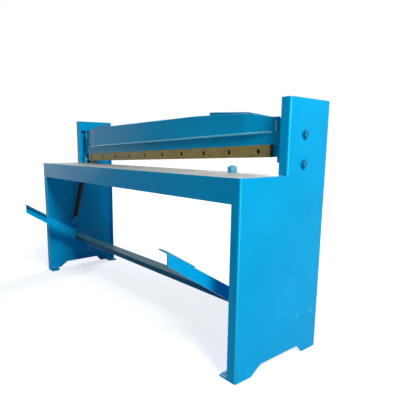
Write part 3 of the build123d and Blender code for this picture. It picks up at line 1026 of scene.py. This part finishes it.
class SHEAR_OT_bed_screws(bpy.types.Operator):
    """Hexagon screws under the table that hold the lower blade to the bed bar"""

    bl_idname = "shear.bed_screws"
    bl_label = "Lower Blade Screws"

    def execute(self, context):
        count = context.scene.shear_fasteners.bed_screws
        half_row, above_middle = 0.7, 0.008
        washer_radius, washer_height = 0.011, 0.002
        flats, head_height = 0.016, 0.007
        y = low("bed_bar")[1]
        z = middle("bed_bar")[2] + above_middle
        head_y = y - washer_height + SEAT
        parts = []
        for x in np.linspace(-half_row, half_row, count):
            parts.append(washer((x, y, z), TO_FRONT, washer_radius, washer_height))
            parts.append(hex_form((x, head_y, z), TO_FRONT, flats, head_height))
        add_piece("bed_screws", parts, "frame", "screw", smooth=False)
        return {"FINISHED"}


class SHEAR_OT_guide_bolts(bpy.types.Operator):
    """Hexagon bolts with washers that hold the guide rails"""

    bl_idname = "shear.guide_bolts"
    bl_label = "Guide Rail Bolts"

    def execute(self, context):
        flats = context.scene.shear_fasteners.hex_flats
        washer_radius, washer_height, head_height = 0.015, 0.003, 0.0101
        radius, length, chamfer, overlap = 0.0078, 0.035, 0.001, 0.0005
        shank = [(0.0, 0.0004), (0.0, 0.0072), (chamfer, radius), (length, radius)]
        for side, sign in SIDES:
            for height in ("upper", "lower"):
                node = f"{side}_{height}_guide_bolt"
                y, z = middle(node)[1:]
                face = PLATE_OUT * sign
                axis = (sign, 0.0, 0.0)
                head = face + sign * (washer_height - SEAT)
                parts = [
                    washer((face, y, z), axis, washer_radius, washer_height),
                    hex_form((head, y, z), axis, flats, head_height),
                    turned(shank, (face - sign * (length - overlap), y, z), axis, sides=20),
                ]
                name = node + "_detail"
                piece = add_piece(name, parts, "frame", "bolt", smooth=False)
                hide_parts(node)
        return {"FINISHED"}


class SHEAR_OT_bracket_bolts(bpy.types.Operator):
    """Low domed screws in the frames' outer faces, which hold the pivot brackets"""

    bl_idname = "shear.bracket_bolts"
    bl_label = "Pivot Bracket Screws"

    def execute(self, context):
        height = 0.004
        dome = [(0.0, 0.0095), (0.001, 0.0095), (0.0026, 0.0078), (height, 0.0048)]
        recess = [(height, 0.0034), (0.0018, 0.0032), (0.0016, 0.0004)]
        z = 0.170
        parts = []
        for y in (FRONT_Y + 0.350, FRONT_Y + 0.449):
            parts.append(turned(dome + recess, (PLATE_OUT, y, z), TO_RIGHT, sides=32))
        parts = both_sides(parts)
        add_piece("bracket_screws", parts, "frame", "edge", smooth=False)
        return {"FINISHED"}


class SHEAR_OT_pivot_pins(bpy.types.Operator):
    """Hexagon headed pins on which the treadle turns"""

    bl_idname = "shear.pivot_pins"
    bl_label = "Treadle Pivot Pins"

    def execute(self, context):
        flats, head, radius, chamfer = 0.030, 0.012, 0.0124, 0.001
        for side, sign in SIDES:
            node = side + "_pivot_pin"
            lo, hi = span(node)
            inner, outer = (lo[0], hi[0]) if sign > 0 else (hi[0], lo[0])
            under = inner + sign * head
            length = abs(outer - under)
            shank = [(0.0, radius), (length - chamfer, radius), (length, 0.0115), (length, 0.0004)]
            parts = [
                hex_form((under, *PIVOT), (-sign, 0.0, 0.0), flats, head),
                turned(shank, (under - sign * SEAT, *PIVOT), (sign, 0.0, 0.0), sides=32),
            ]
            name = node + "_detail"
            piece = add_piece(name, parts, "frame", "bolt", smooth=False)
            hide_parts(node)
        return {"FINISHED"}


def split_pin(x, y, z):
    """Split pin, as one wire, through a rod pin whose middle is at (x, y, z).

    The wire goes round an open loop above the rod pin, y = 0.0036 cos t and
    z = reach + 0.004 + 0.0045 sin t, and its two legs run down past it by twice the reach,
    spread by the fourth power of the way down.
    """
    wire, reach, spread = 0.0011, 0.0155, 0.006
    t = np.linspace(-0.42 * np.pi, 1.42 * np.pi, 24)
    loop_y = 0.0036 * np.cos(t)
    loop_z = reach + 0.004 + 0.0045 * np.sin(t)
    down = np.linspace(0.0, 1.0, 10)
    legs = [loop_y[k] * (1 - down) + way * spread * down**4 for k, way in ((0, 1), (-1, -1))]
    drop = -2 * reach * down
    ys = np.concatenate([legs[0][::-1], loop_y, legs[1]])
    zs = np.concatenate([loop_z[0] + drop[::-1], loop_z, loop_z[-1] + drop])
    return tube(np.stack([np.full(len(ys), x), y + ys, z + zs], 1), wire, pitch=0.003)


class SHEAR_OT_split_pins(bpy.types.Operator):
    """Split pins across the rod pins' outer ends, with a loop above and two legs below"""

    bl_idname = "shear.split_pins"
    bl_label = "Split Pins"

    def execute(self, context):
        from_end = 0.0025
        for name, body, node, eye in (
            ("lug_split_pins", "treadle", "right_rod_lug", LOWER_EYE),
            ("ram_split_pins", "ram", "right_upper_rod_pin", UPPER_EYE),
        ):
            pin = split_pin(high(node)[0] - from_end, *eye)
            add_piece(name, both_sides([pin]), body, "pin")
        return {"FINISHED"}


class SHEAR_OT_table_clamp(bpy.types.Operator):
    """Hexagon nut with its washer and threaded stud on the table's rear right corner"""

    bl_idname = "shear.table_clamp"
    bl_label = "Table Clamp Nut"

    def execute(self, context):
        washer_radius, washer_height = 0.021, 0.004
        flats, nut_height = 0.036, 0.0225
        lead, depth, radius = 0.0025, 0.0011, 0.0108
        stud_top = TABLE_Z + 0.030
        bottom = low("table_clamp")[2]
        x, y = middle("table_clamp")[:2]
        length = stud_top - bottom
        thread = [(h, radius) for h in np.linspace(0.0, length - 0.0022, 160)]
        point = [(length - 0.0008, 0.0092), (length, 0.008), (length, 0.0005)]
        parts = [
            washer((x, y, TABLE_Z), UPWARD, washer_radius, washer_height),
            hex_form((x, y, TABLE_Z + washer_height), UPWARD, flats, nut_height, both_ends=True),
            turned(thread + point, (x, y, bottom), UPWARD, sides=32, thread=(lead, depth)),
        ]
        name = "table_clamp_detail"
        piece = add_piece(name, parts, "frame", "clamp", smooth=False)
        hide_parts("table_clamp")
        return {"FINISHED"}


# ------------------------ stage


def seen_directly(tree):
    """1 for rays that come from the camera, straight, mirrored or through glass."""
    path = tree.nodes.new("ShaderNodeLightPath")
    last = path.outputs["Is Camera Ray"]
    for name in ("Is Glossy Ray", "Is Transmission Ray"):
        more = tree.nodes.new("ShaderNodeMath")
        more.operation = "MAXIMUM"
        tree.links.new(last, more.inputs[0])
        tree.links.new(path.outputs[name], more.inputs[1])
        last = more.outputs[0]
    return last


def floor_material():
    """Pale matt floor that keeps the machine's shadow and is lifted to white where it is seen.

    The lift grows with the distance from the machine, so the floor's far part is plain white.
    """
    n = Nodes("pale_floor")
    greys = ((0.54, 0.6, 0.68), (0.58, 0.64, 0.72))
    near, far, least_lift, full_lift = 1.2, 3.2, 0.66, 1.05
    n.link(n.ramp(n.noise(2.0), (0.3, 0.7), greys), n.shader, "Base Color")
    n.shader.inputs["Roughness"].default_value = 0.9
    n.shader.inputs["IOR"].default_value = 1.05
    distance = n.add("ShaderNodeVectorMath", operation="LENGTH")
    n.link((n.place, "Object"), distance, 0)
    lift = n.add("ShaderNodeEmission")
    strength = n.rise((distance, "Value"), near, far, least_lift, full_lift)
    n.link(strength, lift, "Strength")
    lifted = n.add("ShaderNodeAddShader")
    n.link((n.shader, "BSDF"), lifted, 0)
    n.link((lift, "Emission"), lifted, 1)
    choice = n.add("ShaderNodeMixShader")
    n.tree.links.new(seen_directly(n.tree), choice.inputs["Fac"])
    n.link((n.shader, "BSDF"), choice, 1)
    n.link((lifted, "Shader"), choice, 2)
    n.link((choice, "Shader"), n.output, "Surface")
    return n.material


def make_world(fill):
    """White surroundings where they are seen, and an even fill light of the given strength."""
    world = bpy.data.worlds.new("studio")
    bpy.context.scene.world = world
    world.use_nodes = True
    tree = world.node_tree
    tree.nodes.clear()
    mix = tree.nodes.new("ShaderNodeMixShader")
    tree.links.new(seen_directly(tree), mix.inputs["Fac"])
    pale_blue, white = (0.7, 0.88, 1.0, 1.0), (1.0, 1.0, 1.0, 1.0)
    for socket, colour, strength in ((1, pale_blue, fill), (2, white, 1.0)):
        light = tree.nodes.new("ShaderNodeBackground")
        light.inputs["Color"].default_value = colour
        light.inputs["Strength"].default_value = strength
        tree.links.new(light.outputs[0], mix.inputs[socket])
    out = tree.nodes.new("ShaderNodeOutputWorld")
    tree.links.new(mix.outputs[0], out.inputs["Surface"])


def add_lamp(name, place, target, size, strength, colour):
    """Round soft lamp; at strength 1 a white face turned to it renders white."""
    aim = Vector(target) - Vector(place)
    data = bpy.data.lights.new(name, "AREA")
    data.shape = "DISK"
    data.size = size
    data.color = colour
    data.energy = strength * (math.pi * aim.length) ** 2
    lamp = bpy.data.objects.new(name, data)
    bpy.context.scene.collection.objects.link(lamp)
    lamp.location = place
    lamp.rotation_euler = aim.to_track_quat("-Z", "Y").to_euler()


def add_camera():
    """Camera at the photograph's viewing angle."""
    data = bpy.data.cameras.new("camera")
    data.sensor_width = 36.0
    data.lens = 35.933
    data.shift_x = 0.0513
    data.shift_y = 0.0441
    camera = bpy.data.objects.new("camera", data)
    camera.location = (1.799061, -1.132811, 0.833981)
    camera.rotation_euler = Euler([math.radians(a) for a in (80.361, -0.305, 51.383)])
    bpy.context.scene.collection.objects.link(camera)
    bpy.context.scene.camera = camera


class SHEAR_OT_stage(bpy.types.Operator):
    """Pale floor, soft studio light and the camera"""

    bl_idname = "shear.stage"
    bl_label = "Stage, Light and Camera"

    def execute(self, context):
        scene = context.scene
        settings = scene.shear_stage
        scene.view_settings.view_transform = "Standard"
        mesh = bpy.data.meshes.new("floor")
        half = 30.0
        corners = [(-half, -half, 0), (half, -half, 0), (half, half, 0), (-half, half, 0)]
        mesh.from_pydata(corners, [], [(0, 1, 2, 3)])
        mesh.materials.append(floor_material())
        floor = bpy.data.objects.new("floor", mesh)
        scene.collection.objects.link(floor)
        make_world(settings.fill_strength)
        machine = (0.0, 0.0, 0.5)
        left_part = (-0.6, 0.0, 0.85)
        warm, cool, neutral = (1.0, 0.98, 0.89), (0.88, 0.96, 1.0), (0.97, 0.985, 1.0)
        for lamp in (
            ("key", (3.36, -0.64, 3.1), machine, 1.5, settings.key_strength, warm),
            ("window", (-5.0, -2.0, 1.15), left_part, 1.9, settings.window_strength, cool),
            ("back", (-2.6, 4.4, 4.2), machine, 2.4, settings.back_strength, neutral),
        ):
            add_lamp(*lamp)
        add_camera()
        return {"FINISHED"}


class SHEAR_PT_panel(bpy.types.Panel):
    """Lists the shear's sizes and the steps that dress it"""

    bl_label = "Treadle Shear"
    bl_idname = "SHEAR_PT_panel"
    bl_space_type = "VIEW_3D"
    bl_region_type = "UI"
    bl_category = "Treadle Shear"

    def draw(self, context):
        layout = self.layout
        for group, _ in GROUPS:
            settings = getattr(context.scene, group)
            box = layout.box()
            for name in settings.__annotations__:
                box.prop(settings, name)
        for step in STEPS:
            layout.operator(step.bl_idname)


STEPS = (
    SHEAR_OT_finishes,
    SHEAR_OT_ram_welds,
    SHEAR_OT_frame_welds,
    SHEAR_OT_treadle_welds,
    SHEAR_OT_rod_welds,
    SHEAR_OT_blade_screws,
    SHEAR_OT_bed_screws,
    SHEAR_OT_guide_bolts,
    SHEAR_OT_bracket_bolts,
    SHEAR_OT_pivot_pins,
    SHEAR_OT_split_pins,
    SHEAR_OT_table_clamp,
    SHEAR_OT_stage,
)
GROUPS = (
    ("shear_paint", PaintSettings),
    ("shear_weld", WeldSettings),
    ("shear_fasteners", FastenerSettings),
    ("shear_stage", StageSettings),
)


def register():
    for name, group in GROUPS:
        bpy.utils.register_class(group)
        setattr(bpy.types.Scene, name, bpy.props.PointerProperty(type=group))
    for step in STEPS:
        bpy.utils.register_class(step)
    bpy.utils.register_class(SHEAR_PT_panel)


def unregister():
    bpy.utils.unregister_class(SHEAR_PT_panel)
    for step in reversed(STEPS):
        bpy.utils.unregister_class(step)
    for name, group in reversed(GROUPS):
        delattr(bpy.types.Scene, name)
        bpy.utils.unregister_class(group)


def main():
    register()
    for step in STEPS:
        area, call = step.bl_idname.split(".")
        getattr(getattr(bpy.ops, area), call)()


if __name__ == "__main__":
    main()
